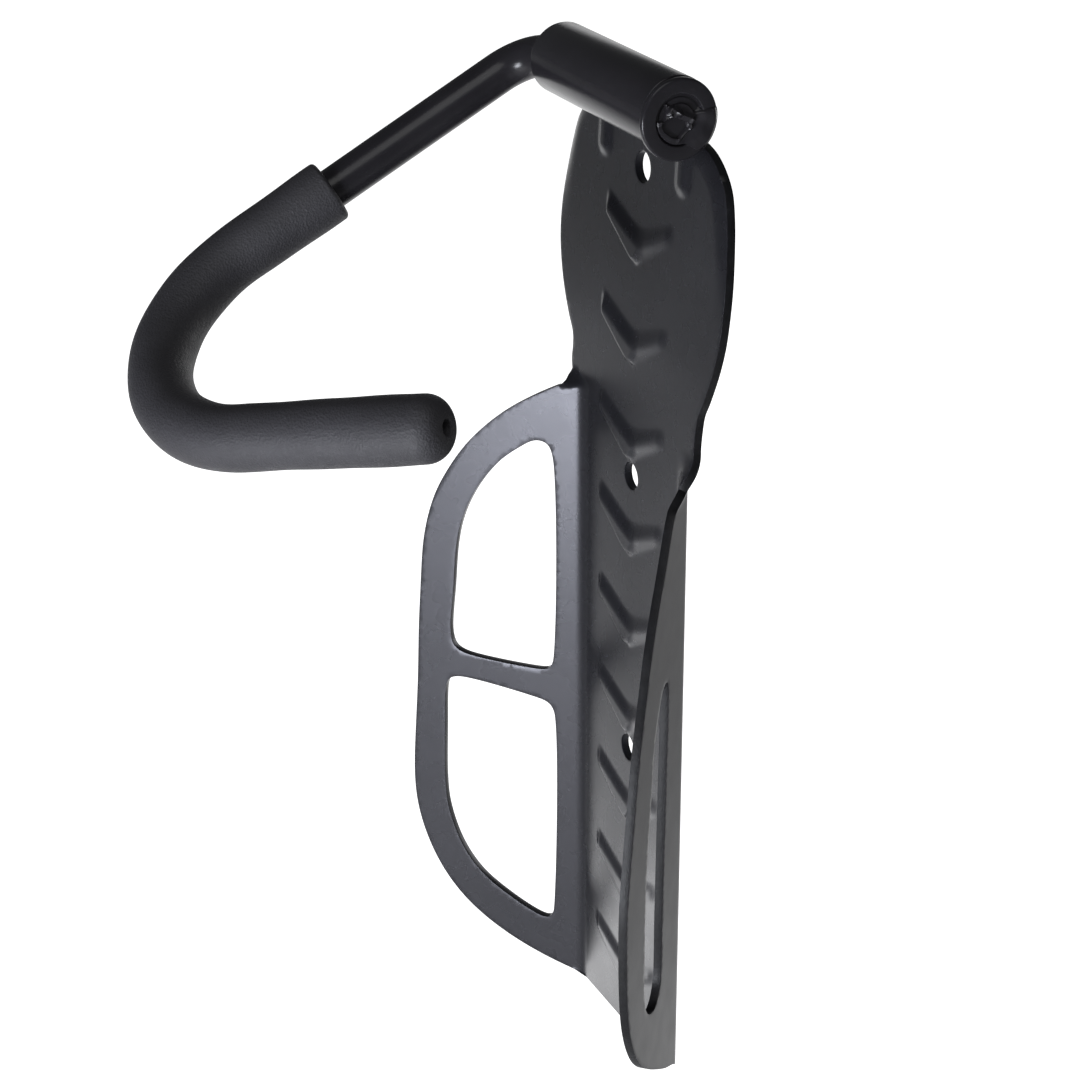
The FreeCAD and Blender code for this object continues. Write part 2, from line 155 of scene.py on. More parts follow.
class Nodes:
    """A short way to write a node tree."""

    def __init__(self, name):
        self.material = bpy.data.materials.new(name)
        self.material.use_nodes = True
        self.tree = self.material.node_tree
        self.shader = self.tree.nodes["Principled BSDF"]
        self.place = self.add("ShaderNodeTexCoord").outputs["Object"]

    def add(self, kind, **values):
        node = self.tree.nodes.new(kind)
        for key, value in values.items():
            setattr(node, key, value)
        return node

    def link(self, source, target):
        self.tree.links.new(source, target)

    def noise(self, scale, detail=2.0, rough=0.5, distortion=0.0):
        node = self.add("ShaderNodeTexNoise")
        node.inputs["Scale"].default_value = scale
        node.inputs["Detail"].default_value = detail
        node.inputs["Roughness"].default_value = rough
        node.inputs["Distortion"].default_value = distortion
        self.link(self.place, node.inputs["Vector"])
        return node.outputs["Fac"]

    def cells(self, scale):
        node = self.add("ShaderNodeTexVoronoi", feature="F1")
        node.inputs["Scale"].default_value = scale
        self.link(self.place, node.inputs["Vector"])
        return node.outputs["Distance"]

    def ramp(self, source, stops):
        node = self.add("ShaderNodeValToRGB")
        while len(node.color_ramp.elements) < len(stops):
            node.color_ramp.elements.new(0.5)
        for element, (position, colour) in zip(node.color_ramp.elements, stops):
            element.position = position
            element.color = (*colour, 1.0)
        self.link(source, node.inputs["Fac"])
        return node.outputs["Color"]

    def spread(self, source, low, high):
        node = self.add("ShaderNodeMapRange")
        node.inputs["To Min"].default_value = low
        node.inputs["To Max"].default_value = high
        self.link(source, node.inputs["Value"])
        return node.outputs["Result"]

    def fade(self, source, start, stop):
        """0 up to start and 1 past stop, smoothly between."""
        node = self.add("ShaderNodeMapRange", interpolation_type="SMOOTHSTEP")
        node.inputs["From Min"].default_value = start
        node.inputs["From Max"].default_value = stop
        self.link(source, node.inputs["Value"])
        return node.outputs["Result"]

    def product(self, first, second):
        node = self.add("ShaderNodeMath", operation="MULTIPLY")
        self.link(first, node.inputs[0])
        self.link(second, node.inputs[1])
        return node.outputs["Value"]

    def total(self, first, second, weight):
        """first plus weight times second."""
        node = self.add("ShaderNodeMath", operation="MULTIPLY_ADD")
        self.link(second, node.inputs[0])
        node.inputs[1].default_value = weight
        self.link(first, node.inputs[2])
        return node.outputs["Value"]

    def bump(self, source, strength, distance):
        node = self.add("ShaderNodeBump")
        node.inputs["Strength"].default_value = strength
        node.inputs["Distance"].default_value = distance
        self.link(source, node.inputs["Height"])
        self.link(node.outputs["Normal"], self.shader.inputs["Normal"])


def satin_powder_coat():
    """Satin black powder coat: a faint orange peel and slightly uneven gloss."""
    n = Nodes("satin_powder_coat")
    tone = n.noise(35.0, 3.0)
    n.link(n.ramp(tone, [(0.3, (0.0070, 0.0070, 0.0086)), (0.7, (0.0096, 0.0096, 0.0116))]),
           n.shader.inputs["Base Color"])
    n.link(n.spread(n.noise(120.0, 2.0), 0.24, 0.31), n.shader.inputs["Roughness"])
    peel = n.total(n.noise(900.0, 2.0), n.noise(2600.0, 1.0), 0.4)
    n.bump(peel, 0.05, 0.0002)
    n.shader.inputs["Specular IOR Level"].default_value = 0.30
    n.shader.inputs["Specular Tint"].default_value = (0.92, 0.92, 1.0, 1.0)
    return n.material


def back_face_coat():
    """The duller coat on the back of the sheet, which the powder reaches less well."""
    n = Nodes("back_face_coat")
    tone = n.noise(35.0, 3.0)
    n.link(n.ramp(tone, [(0.3, (0.0088, 0.0080, 0.0098)), (0.7, (0.0118, 0.0108, 0.0132))]),
           n.shader.inputs["Base Color"])
    n.link(n.spread(n.noise(120.0, 2.0), 0.27, 0.34), n.shader.inputs["Roughness"])
    n.bump(n.total(n.noise(900.0, 2.0), n.noise(2600.0, 1.0), 0.4), 0.05, 0.0002)
    n.shader.inputs["Specular IOR Level"].default_value = 0.08
    return n.material


def thin_edge_coat():
    """The thinner, duller coat on the sheared edges of the sheet."""
    n = Nodes("thin_edge_coat")
    tone = n.noise(300.0, 3.0, 0.6)
    n.link(n.ramp(tone, [(0.3, (0.0045, 0.0045, 0.0050)), (0.7, (0.0080, 0.0080, 0.0090))]),
           n.shader.inputs["Base Color"])
    n.link(n.spread(n.noise(500.0, 2.0), 0.34, 0.50), n.shader.inputs["Roughness"])
    n.bump(n.total(n.noise(1100.0, 3.0), n.noise(2400.0, 2.0), 0.5), 0.25, 0.0003)
    n.shader.inputs["Specular IOR Level"].default_value = 0.12
    return n.material


def gloss_powder_coat():
    """Gloss black powder coat over steel."""
    n = Nodes("gloss_powder_coat")
    tone = n.noise(60.0, 2.0)
    n.link(n.ramp(tone, [(0.3, (0.0110, 0.0104, 0.0122)), (0.7, (0.0138, 0.0130, 0.0150))]),
           n.shader.inputs["Base Color"])
    n.link(n.spread(n.noise(150.0, 2.0), 0.20, 0.27), n.shader.inputs["Roughness"])
    n.bump(n.total(n.noise(700.0, 2.0), n.noise(1900.0, 1.0), 0.4), 0.08, 0.0002)
    n.shader.inputs["Specular IOR Level"].default_value = 0.19
    return n.material


def foam_rubber():
    """Matt closed-cell foam with a fine, slightly pebbled skin."""
    n = Nodes("foam_rubber")
    tone = n.total(n.noise(45.0, 3.0), n.noise(1500.0, 2.0), 0.6)
    n.link(n.ramp(tone, [(0.45, (0.0132, 0.0127, 0.0150)), (1.15, (0.0225, 0.0216, 0.0252))]),
           n.shader.inputs["Base Color"])
    n.link(n.spread(n.noise(400.0, 2.0), 0.55, 0.72), n.shader.inputs["Roughness"])
    n.bump(n.total(n.cells(1500.0), n.noise(2600.0, 3.0, 0.6), 0.8), 0.45, 0.0003)
    n.shader.inputs["Specular IOR Level"].default_value = 0.4
    return n.material


# ---- back plate ------------------------------------------------------------------------------
# The plate is drawn as the flat sheet it is cut from, in (u, z): u runs out from the centre
# line across the sheet, round the fold and along the wheel guard. Then it is pressed to shape.


def along_guard(out):
    """u for a distance out from the corner where floor and guard would meet."""
    return FLOOR_HALF + BEND_LENGTH + out - SETBACK


NECK_HALF = 38.4
HEAD_RIGHT = [
    (NECK_HALF, 28.0), (39.4, 32.0), (42.3, 37.2), (46.5, 46.5), (49.0, 55.0), (49.9, 62.0),
    (49.9, 71.0), (48.3, 82.0), (46.2, 91.0), (43.8, 97.0), (39.2, 101.9), (34.2, 104.9),
    (30.0, 106.2),
]
TAB_HALF, TAB_TOP = 25.0, 110.4
HEAD_TOP_RIGHT = [(30.0, 106.2), (27.0, 107.6), (TAB_HALF, TAB_TOP)]
NECK_RIGHT = [(NECK_HALF - 0.3, 14.5), (NECK_HALF - 0.9, 21.0)]
NECK_LEFT = [(-39.3, 28.0), (-40.0, 23.4), (-39.3, 19.8), (-37.7, 18.1)]

# Points on the guards are (distance out from the corner, z), and are eased into smooth curves.
GUARD_PASSES, WINDOW_PASSES = 60, 8
LEFT_GUARD_EDGE = [
    (8.2, 16.9), (9.6, 16.1), (12.8, 14.6), (17.0, 12.2), (20.7, 9.8), (25.8, 6.5), (31.5, 1.7),
    (36.5, -3.2), (41.2, -8.9), (46.0, -16.6), (49.9, -23.7), (52.8, -32.7), (54.7, -41.8),
    (55.6, -54.0), (56.8, -71.5), (57.6, -91.7), (58.8, -109.8), (59.6, -126.2), (58.7, -137.8),
    (55.0, -150.4), (49.4, -161.3), (41.7, -170.5), (31.4, -178.0), (21.5, -183.0),
    (10.6, -187.0), (3.0, -189.0),
]
RIGHT_GUARD_EDGE = [
    (7.4, 10.6), (11.3, 8.8), (16.4, 4.8), (22.0, -4.9), (28.8, -14.0), (36.4, -25.8),
    (41.8, -38.6), (47.3, -51.3), (52.6, -70.6), (56.1, -84.6), (58.7, -95.9), (58.9, -108.0),
    (57.7, -126.4), (55.2, -138.0), (49.5, -149.5), (41.5, -159.5), (31.6, -167.3),
    (20.5, -174.6), (11.0, -180.6), (7.5, -182.0),
]
LEFT_UPPER_WINDOW = [
    (10.6, -76.5), (10.6, -7.0), (12.2, -2.6), (16.0, -1.9), (22.0, -5.6), (28.0, -10.6),
    (34.0, -18.0), (38.6, -26.0), (41.6, -34.0), (43.2, -42.0), (44.4, -56.0), (45.6, -73.5),
    (44.2, -77.6), (40.5, -79.0), (14.0, -79.8), (11.6, -79.2),
]
LEFT_LOWER_WINDOW = [
    (10.3, -167.0), (10.2, -94.0), (11.6, -91.2), (14.6, -90.4), (43.0, -87.6), (46.6, -88.8),
    (47.6, -92.0), (48.2, -108.0), (48.5, -126.0), (47.6, -136.0), (43.2, -149.0),
    (36.5, -158.4), (27.0, -165.2), (17.0, -170.2), (12.4, -171.4), (10.9, -170.2),
]
RIGHT_SLOT = [
    (21.2, -143.0), (20.6, -120.0), (19.4, -80.0), (18.4, -46.0), (19.0, -43.4), (21.0, -42.8),
    (24.4, -43.5), (29.2, -50.7), (32.6, -58.3), (35.0, -73.0), (37.8, -86.8), (39.4, -104.0),
    (39.6, -122.0), (39.2, -137.0), (37.0, -143.4), (32.6, -147.2), (27.6, -148.6),
    (23.6, -146.6),
]


def smooth_line(points, step=0.9, closed=False):
    """Points a step apart on a smooth (centripetal Catmull-Rom) curve through the given ones."""
    given = np.array(points, float)
    if closed:
        given = np.vstack([given[-1], given, given[0], given[1]])
    else:
        given = np.vstack([2 * given[0] - given[1], given, 2 * given[-1] - given[-2]])
    made = []
    for p0, p1, p2, p3 in zip(given, given[1:], given[2:], given[3:]):
        k = [0.0]
        for a, b in ((p0, p1), (p1, p2), (p2, p3)):
            k.append(k[-1] + max(np.linalg.norm(b - a), 1e-6) ** 0.5)
        count = max(2, int(round(np.linalg.norm(p2 - p1) / step)))
        for t in np.linspace(k[1], k[2], count, endpoint=False):
            a1 = (k[1] - t) / (k[1] - k[0]) * p0 + (t - k[0]) / (k[1] - k[0]) * p1
            a2 = (k[2] - t) / (k[2] - k[1]) * p1 + (t - k[1]) / (k[2] - k[1]) * p2
            a3 = (k[3] - t) / (k[3] - k[2]) * p2 + (t - k[2]) / (k[3] - k[2]) * p3
            b1 = (k[2] - t) / (k[2] - k[0]) * a1 + (t - k[0]) / (k[2] - k[0]) * a2
            b2 = (k[3] - t) / (k[3] - k[1]) * a2 + (t - k[1]) / (k[3] - k[1]) * a3
            made.append((k[2] - t) / (k[2] - k[1]) * b1 + (t - k[1]) / (k[2] - k[1]) * b2)
    if not closed:
        made.append(given[-2])
    return np.array(made)


def eased(line, passes, closed=False):
    """A line with its small unevenness averaged away, its ends kept."""
    line = line.copy()
    for _ in range(passes):
        if closed:
            line = (np.roll(line, 1, axis=0) + 2 * line + np.roll(line, -1, axis=0)) / 4
        else:
            line[1:-1] = (line[:-2] + 2 * line[1:-1] + line[2:]) / 4
    return line


def on_guard(side, points):
    return [(side * along_guard(out), z) for out, z in points]


def mirrored(points):
    return [(-u, z) for u, z in points]


def window(side, points):
    return eased(smooth_line(on_guard(side, points), closed=True), WINDOW_PASSES, closed=True)


def sheet_outline():
    """The sheet's edge, anticlockwise from the bottom of the right-hand fold."""
    right_guard = eased(smooth_line(on_guard(1, RIGHT_GUARD_EDGE)[::-1]), GUARD_PASSES)
    left_guard = eased(smooth_line(on_guard(-1, LEFT_GUARD_EDGE)), GUARD_PASSES)
    head_right = smooth_line([tuple(right_guard[-1])] + NECK_RIGHT + HEAD_RIGHT)
    head_left = smooth_line(mirrored(HEAD_RIGHT[1:])[::-1] + NECK_LEFT + [tuple(left_guard[0])])
    tab_right = smooth_line(HEAD_TOP_RIGHT)
    tab_left = smooth_line(mirrored(HEAD_TOP_RIGHT)[::-1])
    tab_top = np.linspace((TAB_HALF, TAB_TOP), (-TAB_HALF, TAB_TOP), 50)[1:-1]
    low = FLOOR_BOTTOM - 0.3
    floor_end = [(-FLOOR_HALF, low), (0.0, low), (FLOOR_HALF - 5.0, low), (FLOOR_HALF - 0.5, low + 0.9)]
    fold_end = on_guard(1, [(-1.5, -187.8), (1.2, -186.0), (3.4, -184.2)])
    bottom = smooth_line(floor_end + fold_end)
    return np.vstack([right_guard[:-1], head_right[:-1], tab_right, tab_top, tab_left[:-1],
                      head_left[:-1], left_guard, bottom])


def circle(z, radius, count=40):
    turn = np.linspace(0, 2 * np.pi, count, endpoint=False)
    return np.stack([radius * np.cos(turn), z + radius * np.sin(turn)], 1)


def inside(points, loop):
    """Which points lie inside a closed loop."""
    result = np.zeros(len(points), bool)
    following = np.roll(loop, -1, axis=0)
    for (x0, y0), (x1, y1) in zip(loop, following):
        if y0 == y1:
            continue
        crosses = (points[:, 1] < y0) != (points[:, 1] < y1)
        at = x0 + (points[:, 1] - y0) * (x1 - x0) / (y1 - y0)
        result ^= crosses & (points[:, 0] < at)
    return result


def far_from(points, edge_points, gap):
    keep = np.ones(len(points), bool)
    for start in range(0, len(points), 4000):
        block = points[start:start + 4000]
        square = ((block[:, None, :] - edge_points[None, :, :]) ** 2).sum(2)
        keep[start:start + 4000] = square.min(1) > gap * gap
    return keep


def lattice(low, high, bottom, top, step):
    """Points of an equilateral lattice filling a rectangle in (u, z)."""
    rise = step * math.sqrt(0.75)
    made = []
    for row in range(int((top - bottom) / rise) + 1):
        start = low + (step / 2 if row % 2 else 0.0)
        line = np.arange(start, high, step)
        made.append(np.stack([line, np.full(len(line), bottom + row * rise)], 1))
    return np.vstack(made)


GUARD_START, GUARD_END = 37.0, 62.0


def sheet_grid():
    """Points to fill the sheet: close together over the chevrons and folds, wider on the guards."""
    chevrons = lattice(-21.4, 21.4, FLOOR_BOTTOM, 87.0, 0.62)
    ribs = lattice(-29.0, 29.0, 87.5, 112.0, 0.8)
    parts = [chevrons, ribs]
    for side in (-1, 1):
        fold = lattice(22.0, 36.0, FLOOR_BOTTOM, 40.0, 1.0)
        head = lattice(21.5, 52.0, 41.0, 87.0, 1.3)
        crown = lattice(29.8, 52.0, 88.0, 110.0, 1.0)
        guard = lattice(GUARD_START, along_guard(GUARD_END), FLOOR_BOTTOM, 39.5, 1.8)
        parts += [part * (side, 1.0) for part in (fold, head, crown, guard)]
    return np.vstack(parts)


def in_sheet(points, loops):
    """Which points lie inside the first loop and outside all the others."""
    keep = inside(points, loops[0])
    for loop in loops[1:]:
        keep &= ~inside(points, loop)
    return keep


CLEAR_OF_EDGE = 0.55


def flat_sheet():
    """The flat sheet's points in (u, z), its triangles, and which points are on a sheared edge."""
    sheared = [sheet_outline(), window(1, RIGHT_SLOT)]
    punched = [window(-1, LEFT_UPPER_WINDOW), window(-1, LEFT_LOWER_WINDOW)]
    loops = sheared + punched + [circle(z, radius) for z, radius in HOLES]
    edges = []
    start = 0
    for loop in loops:
        count = len(loop)
        edges += [(start + i, start + (i + 1) % count) for i in range(count)]
        start += count
    edge_points = np.vstack(loops)
    grid = sheet_grid()
    grid = grid[in_sheet(grid, loops)]
    grid = grid[far_from(grid, edge_points, CLEAR_OF_EDGE)]
    points = np.vstack([edge_points, grid])
    made = delaunay_2d_cdt([Vector(p) for p in points], edges, [], 0, 1e-5)
    made_points, made_faces, came_from = made[0], made[2], made[3]
    flat = np.array([tuple(v) for v in made_points])
    triangles = np.array([tuple(f) for f in made_faces if len(f) == 3])
    keep = in_sheet(flat[triangles].mean(1), loops)
    sheared_count = sum(len(loop) for loop in sheared)
    on_sheared = np.array([any(i < sheared_count for i in given) for given in came_from])
    return flat, triangles[keep], on_sheared


LOWER_TIP_ROUND, UPPER_TIP_ROUND = 1.6, 2.4
CRISP_SIDE, SOFT_SIDE = 1.5, 6.1
UPPER_SIDE_LEFT, UPPER_SIDE_RIGHT = 4.4, 6.2
LEFT_END, RIGHT_END = 3.6, 5.2
ACROSS_LOWER, ACROSS_UPPER = 0.86, 0.94  # turn heights into distances square to each side
LOWEST_SHARE = 0.62


def chevron_height(u, z):
    """How far the chevrons stand out, from 0 to 1: crisp along the lower left edge, soft elsewhere."""
    lower_line = np.sqrt(u * u + LOWER_TIP_ROUND ** 2) - 0.6
    upper_line = np.sqrt(u * u + UPPER_TIP_ROUND ** 2) - 1.0
    to_right = smoothstep(-2.0, 5.0, u)
    lower_width = CRISP_SIDE + (SOFT_SIDE - CRISP_SIDE) * to_right
    upper_width = UPPER_SIDE_LEFT + (UPPER_SIDE_RIGHT - UPPER_SIDE_LEFT) * to_right
    end = CHEVRON_HALF + 0.6
    end_fade = smoothstep(end, end - np.where(u > 0, RIGHT_END, LEFT_END), np.abs(u))
    depth = LOWEST_SHARE + (1.0 - LOWEST_SHARE) * smoothstep(-150.0, 20.0, z)
    height = np.zeros(u.shape)
    for i in range(CHEVRON_COUNT):
        top = CHEVRON_TOP - CHEVRON_PITCH * i
        above_low = (z - top - CHEVRON_LOW - CHEVRON_LOW_SLOPE * lower_line) * ACROSS_LOWER
        below_high = (top + CHEVRON_HIGH + CHEVRON_HIGH_SLOPE * upper_line - z) * ACROSS_UPPER
        lower_side = smoothstep(0.0, lower_width, above_low)
        upper_side = smoothstep(-0.6, upper_width, below_high)
        height = np.maximum(height, lower_side * upper_side)
    return height * end_fade * depth


def rib_height(u, z):
    """How far the two ribs beside the upper screw hole stand out, from 0 to 1."""
    corner = 2.6
    middle, half = (RIB_BOTTOM + RIB_TOP) / 2, (RIB_TOP - RIB_BOTTOM) / 2
    dx = np.maximum(np.abs(np.abs(u) - RIB_X) - (RIB_HALF - corner), 0.0)
    dz = np.maximum(np.abs(z - middle) - (half - corner), 0.0)
    return smoothstep(1.9, -2.1, np.hypot(dx, dz) - corner)


LEFT_FOLD_FADE, RIGHT_FOLD_FADE = (20.5, 16.6), (20.0, 6.0)


def bend_angle(z, right):
    """The fold's angle at each height: full below the neck, easing to flat in the head."""
    top = np.where(right, RIGHT_FOLD_FADE[0], LEFT_FOLD_FADE[0])
    bottom = np.where(right, RIGHT_FOLD_FADE[1], LEFT_FOLD_FADE[1])
    return math.radians(BEND_DEG) * smoothstep(top, bottom, z)


RIM_ROLL, RIM_WIDTH = 1.5, 5.5


def rim_curl(u, z):
    """How far the head's rim is rolled back where the shears dragged it, near the top corners."""
    rim = smooth_line(HEAD_RIGHT)
    out = np.stack([np.abs(u), z], 1)
    near = np.full(len(u), 1e3)
    high = z > 50.0
    square = ((out[high][:, None, :] - rim[None, :, :]) ** 2).sum(2)
    near[high] = np.sqrt(square.min(1))
    return RIM_ROLL * smoothstep(58.0, 99.0, z) * np.clip(1.0 - near / RIM_WIDTH, 0.0, 1.0) ** 2


def folded(flat):
    """The front face of the sheet folded and leaned back but not yet embossed: (u, z) to (x, y, z)."""
    u, z = flat[:, 0], flat[:, 1]
    side, out = np.sign(u), np.abs(u)
    angle = bend_angle(z, u > 0)
    in_fold = np.clip(out - FLOOR_HALF, 0.0, BEND_LENGTH)
    turn = angle * in_fold / BEND_LENGTH
    radius = BEND_LENGTH / np.maximum(angle, 1e-6)
    fold_x = np.where(angle > 1e-4, radius * np.sin(turn), in_fold)
    fold_y = np.where(angle > 1e-4, radius * (1.0 - np.cos(turn)), 0.0)
    beyond = np.maximum(out - FLOOR_HALF - BEND_LENGTH, 0.0)
    x = side * (np.minimum(out, FLOOR_HALF) + fold_x + beyond * np.cos(angle))
    y = -SHEET - fold_y - beyond * np.sin(angle)
    above = z - LEAN_Z
    y = y + LEAN * 0.5 * (above + np.sqrt(above * above + LEAN_ROUND ** 2))
    y = y + rim_curl(u, z)
    return np.stack([x, y, z], 1)


def facing(flat):
    """The folded sheet's front-facing directions, by small differences."""
    step = 0.05
    across = folded(flat + (step, 0.0)) - folded(flat - (step, 0.0))
    along = folded(flat + (0.0, step)) - folded(flat - (0.0, step))
    normal = np.cross(across, along)
    return normal / np.linalg.norm(normal, axis=1, keepdims=True)


EDGE_ROUND = 0.55
FACE_COAT, EDGE_COAT, BACK_COAT = range(3)


def build_plate(face_material, edge_material, back_material):
    """The pressed sheet: its front from the flat pattern, its back a sheet's thickness behind."""
    flat, triangles, on_sheared = flat_sheet()
    a, b, c = (flat[triangles[:, i]] for i in range(3))
    if np.cross(b - a, c - a).mean() < 0:
        triangles = triangles[:, ::-1]
    u, z = flat[:, 0], flat[:, 1]
    relief = EMBOSS * np.maximum(chevron_height(u, z), RIB_SHARE * rib_height(u, z))
    front = folded(flat)
    front[:, 1] -= relief
    back = front - facing(flat) * SHEET
    count = len(front)
    fronts = [tuple(int(i) for i in t) for t in triangles]
    backs = [(r + count, q + count, p + count) for p, q, r in fronts]
    used = dict.fromkeys(edge for p, q, r in fronts for edge in ((p, q), (q, r), (r, p)))
    rim = [(p, q) for p, q in used if (q, p) not in used]
    sides = [(q, p, p + count, q + count) for p, q in rim]
    plate = finish_mesh("pressed_plate", np.vstack([front, back]), fronts + backs + sides, face_material)
    plate.data.materials.append(edge_material)
    plate.data.materials.append(back_material)
    for face in plate.data.polygons:
        if len(face.vertices) == 4:
            face.material_index = EDGE_COAT if on_sheared[face.vertices[0] % count] else FACE_COAT
        else:
            face.material_index = BACK_COAT if face.vertices[0] >= count else FACE_COAT
    soften = plate.modifiers.new("soft_edges", "BEVEL")
    soften.width = EDGE_ROUND * MM
    soften.segments = 3
    soften.limit_method = "ANGLE"
    soften.angle_limit = math.radians(60.0)
    soften.material = FACE_COAT
    apply_modifiers(plate)
    shade(plate, 45.0)
    return plate


# ---- round parts -----------------------------------------------------------------------------


def turned(name, profile, z, material, sides=128):
    """A closed profile of (x, radius) points turned about the pivot axis."""
    turn = np.linspace(0, 2 * np.pi, sides, endpoint=False)
    points = [(x, AXIS_Y + r * math.cos(t), z + r * math.sin(t)) for x, r in profile for t in turn]
    count = len(profile)
    faces = []
    for p in range(count):
        q = (p + 1) % count
        for s in range(sides):
            t = (s + 1) % sides
            faces.append((p * sides + s, q * sides + s, q * sides + t, p * sides + t))
    return finish_mesh(name, points, faces, material, 50.0)


def rounded_corner(x, r, dx, dr, size, steps=5):
    """A small round on a profile's corner, from the surface at radius r to the face at x."""
    made = []
    for i in range(steps + 1):
        a = math.radians(90.0 * i / steps)
        made.append((x + dx * size * (1 - math.sin(a)), r + dr * size * (1 - math.cos(a))))
    return made


def build_barrel(material):
    profile = rounded_corner(BARREL_LEFT, BARREL_R, 1, -1, 0.7)
    profile += rounded_corner(BARREL_LEFT, BORE_R, 1, 1, 0.5)[::-1]
    profile += rounded_corner(BARREL_RIGHT, BORE_R, -1, 1, 0.4)
    profile += rounded_corner(BARREL_RIGHT, BARREL_R, -1, -1, 0.4)[::-1]
    return turned("pivot_tube", profile, BARREL_Z, material)


def build_washer(material):
    hole_r, recess_floor = 6.3, WASHER_RIGHT - 1.0
    profile = rounded_corner(WASHER_LEFT, WASHER_R, 1, -1, 0.5)
    profile += [(WASHER_LEFT, hole_r), (recess_floor, hole_r), (recess_floor, RECESS_R - 0.3)]
    profile += rounded_corner(WASHER_RIGHT, RECESS_R, -1, 1, 0.35)
    profile += rounded_corner(WASHER_RIGHT, WASHER_R, -1, -1, 0.8)[::-1]
    return turned("retaining_washer", profile, PIVOT_Z, material)


# The hook lies in one plane: across runs from the arm towards the tip, and up_slope runs
# back up the arm towards the wall.
DROOP = Matrix.Rotation(math.radians(DROOP_DEG), 3, "X")
TWIST = Matrix.Rotation(math.radians(TWIST_DEG), 3, "Y")
HOOK_PLANE = DROOP @ TWIST
ACROSS = HOOK_PLANE @ Vector((1, 0, 0))
UP_SLOPE = HOOK_PLANE @ Vector((0, 1, 0))
ELBOW = Vector((ELBOW_X, AXIS_Y, PIVOT_Z))


def heading(degrees):
    angle = math.radians(degrees)
    return ACROSS * math.sin(angle) - UP_SLOPE * math.cos(angle)


ARM = heading(-SPLAY_DEG)
TIP = heading(HOOK_TURN_DEG - SPLAY_DEG)
BEND_START = ELBOW + ARM * ARM_LENGTH
BEND_CENTRE = BEND_START + heading(90 - SPLAY_DEG) * HOOK_R


def on_bend(degrees):
    return BEND_CENTRE - heading(90 - SPLAY_DEG + degrees) * HOOK_R


TIP_END = on_bend(HOOK_TURN_DEG) + TIP * TIP_LENGTH


def straight(start, end, step):
    count = max(1, int((end - start).length / step))
    return [start.lerp(end, i / count) for i in range(count)]


def elbow_arc(steps=28):
    before, after = Vector((1, 0, 0)), ARM
    half = before.angle(after) / 2
    middle_line = (before + after).normalized()
    centre = ELBOW + middle_line * (ELBOW_R / math.sin(half))
    first = ELBOW + before * (ELBOW_R / math.tan(half)) - centre
    last = ELBOW + after * (ELBOW_R / math.tan(half)) - centre
    full = first.angle(last)
    made = []
    for i in range(steps + 1):
        t = i / steps
        between = first * math.sin((1 - t) * full) + last * math.sin(t * full)
        made.append(centre + between / math.sin(full))
    return made


def hook_line(start_on_arm=None, stop_short=0.0, step=1.5):
    """The hook's centre line, from the pivot end or from a place on the arm, to the tip."""
    if start_on_arm is None:
        arc = elbow_arc()
        line = straight(Vector((WASHER_RIGHT - 0.9, AXIS_Y, PIVOT_Z)), arc[0], 3.0) + arc[:-1]
        arm_from = arc[-1]
    else:
        line = []
        arm_from = ELBOW + ARM * start_on_arm
    line += straight(arm_from, BEND_START, step)
    turns = int(HOOK_TURN_DEG)
    line += [on_bend(HOOK_TURN_DEG * i / turns) for i in range(turns)]
    end = TIP_END - TIP * stop_short
    line += straight(on_bend(HOOK_TURN_DEG), end, step) + [end]
    return line


def carried_frames(line):
    """Two directions square to a line at each of its points, carried along without twist."""
    points = [Vector(p) for p in line]
    tangents = []
    for i in range(len(points)):
        ahead = points[min(i + 1, len(points) - 1)]
        behind = points[max(i - 1, 0)]
        tangents.append((ahead - behind).normalized())
    side = tangents[0].orthogonal().normalized()
    frames = []
    for tangent in tangents:
        side = (side - tangent * side.dot(tangent)).normalized()
        frames.append((side, tangent.cross(side)))
    return frames


def swept(name, line, radii, material, sides):
    """A round bar along a line, whose radius is given at each point."""
    points = []
    for place, radius, (side, other) in zip(line, radii, carried_frames(line)):
        for s in range(sides):
            angle = 2 * math.pi * s / sides
            points.append(place + (side * math.cos(angle) + other * math.sin(angle)) * radius)
    faces = ring_faces(len(line), sides, True, True)
    return finish_mesh(name, points, faces, material, 50.0)


def build_rod(material):
    line = hook_line(stop_short=ROD_INSIDE_TIP)
    return swept("bent_rod", line, [ROD_R] * len(line), material, 72)


def bump_along(y, z, start, end, width):
    """A ridge between two places on the pivot's end face, from 0 to 1."""
    start, end = np.array(start), np.array(end)
    along = end - start
    share = ((y - start[0]) * along[0] + (z - start[1]) * along[1]) / (along @ along)
    share = np.clip(share, 0.0, 1.0)
    away = np.hypot(y - start[0] - share * along[0], z - start[1] - share * along[1])
    return np.clip(1.0 - away / width, 0.0, 1.0)


def into_hollow(y, z, corners, edge):
    """1 well inside a convex outline, falling to 0 at its edge."""
    depth = np.full(y.shape, 1e3)
    for (y0, z0), (y1, z1) in zip(corners, corners[1:] + corners[:1]):
        length = math.hypot(y1 - y0, z1 - z0)
        depth = np.minimum(depth, ((y1 - y0) * (z - z0) - (z1 - z0) * (y - y0)) / length)
    return smoothstep(0.0, edge, depth)


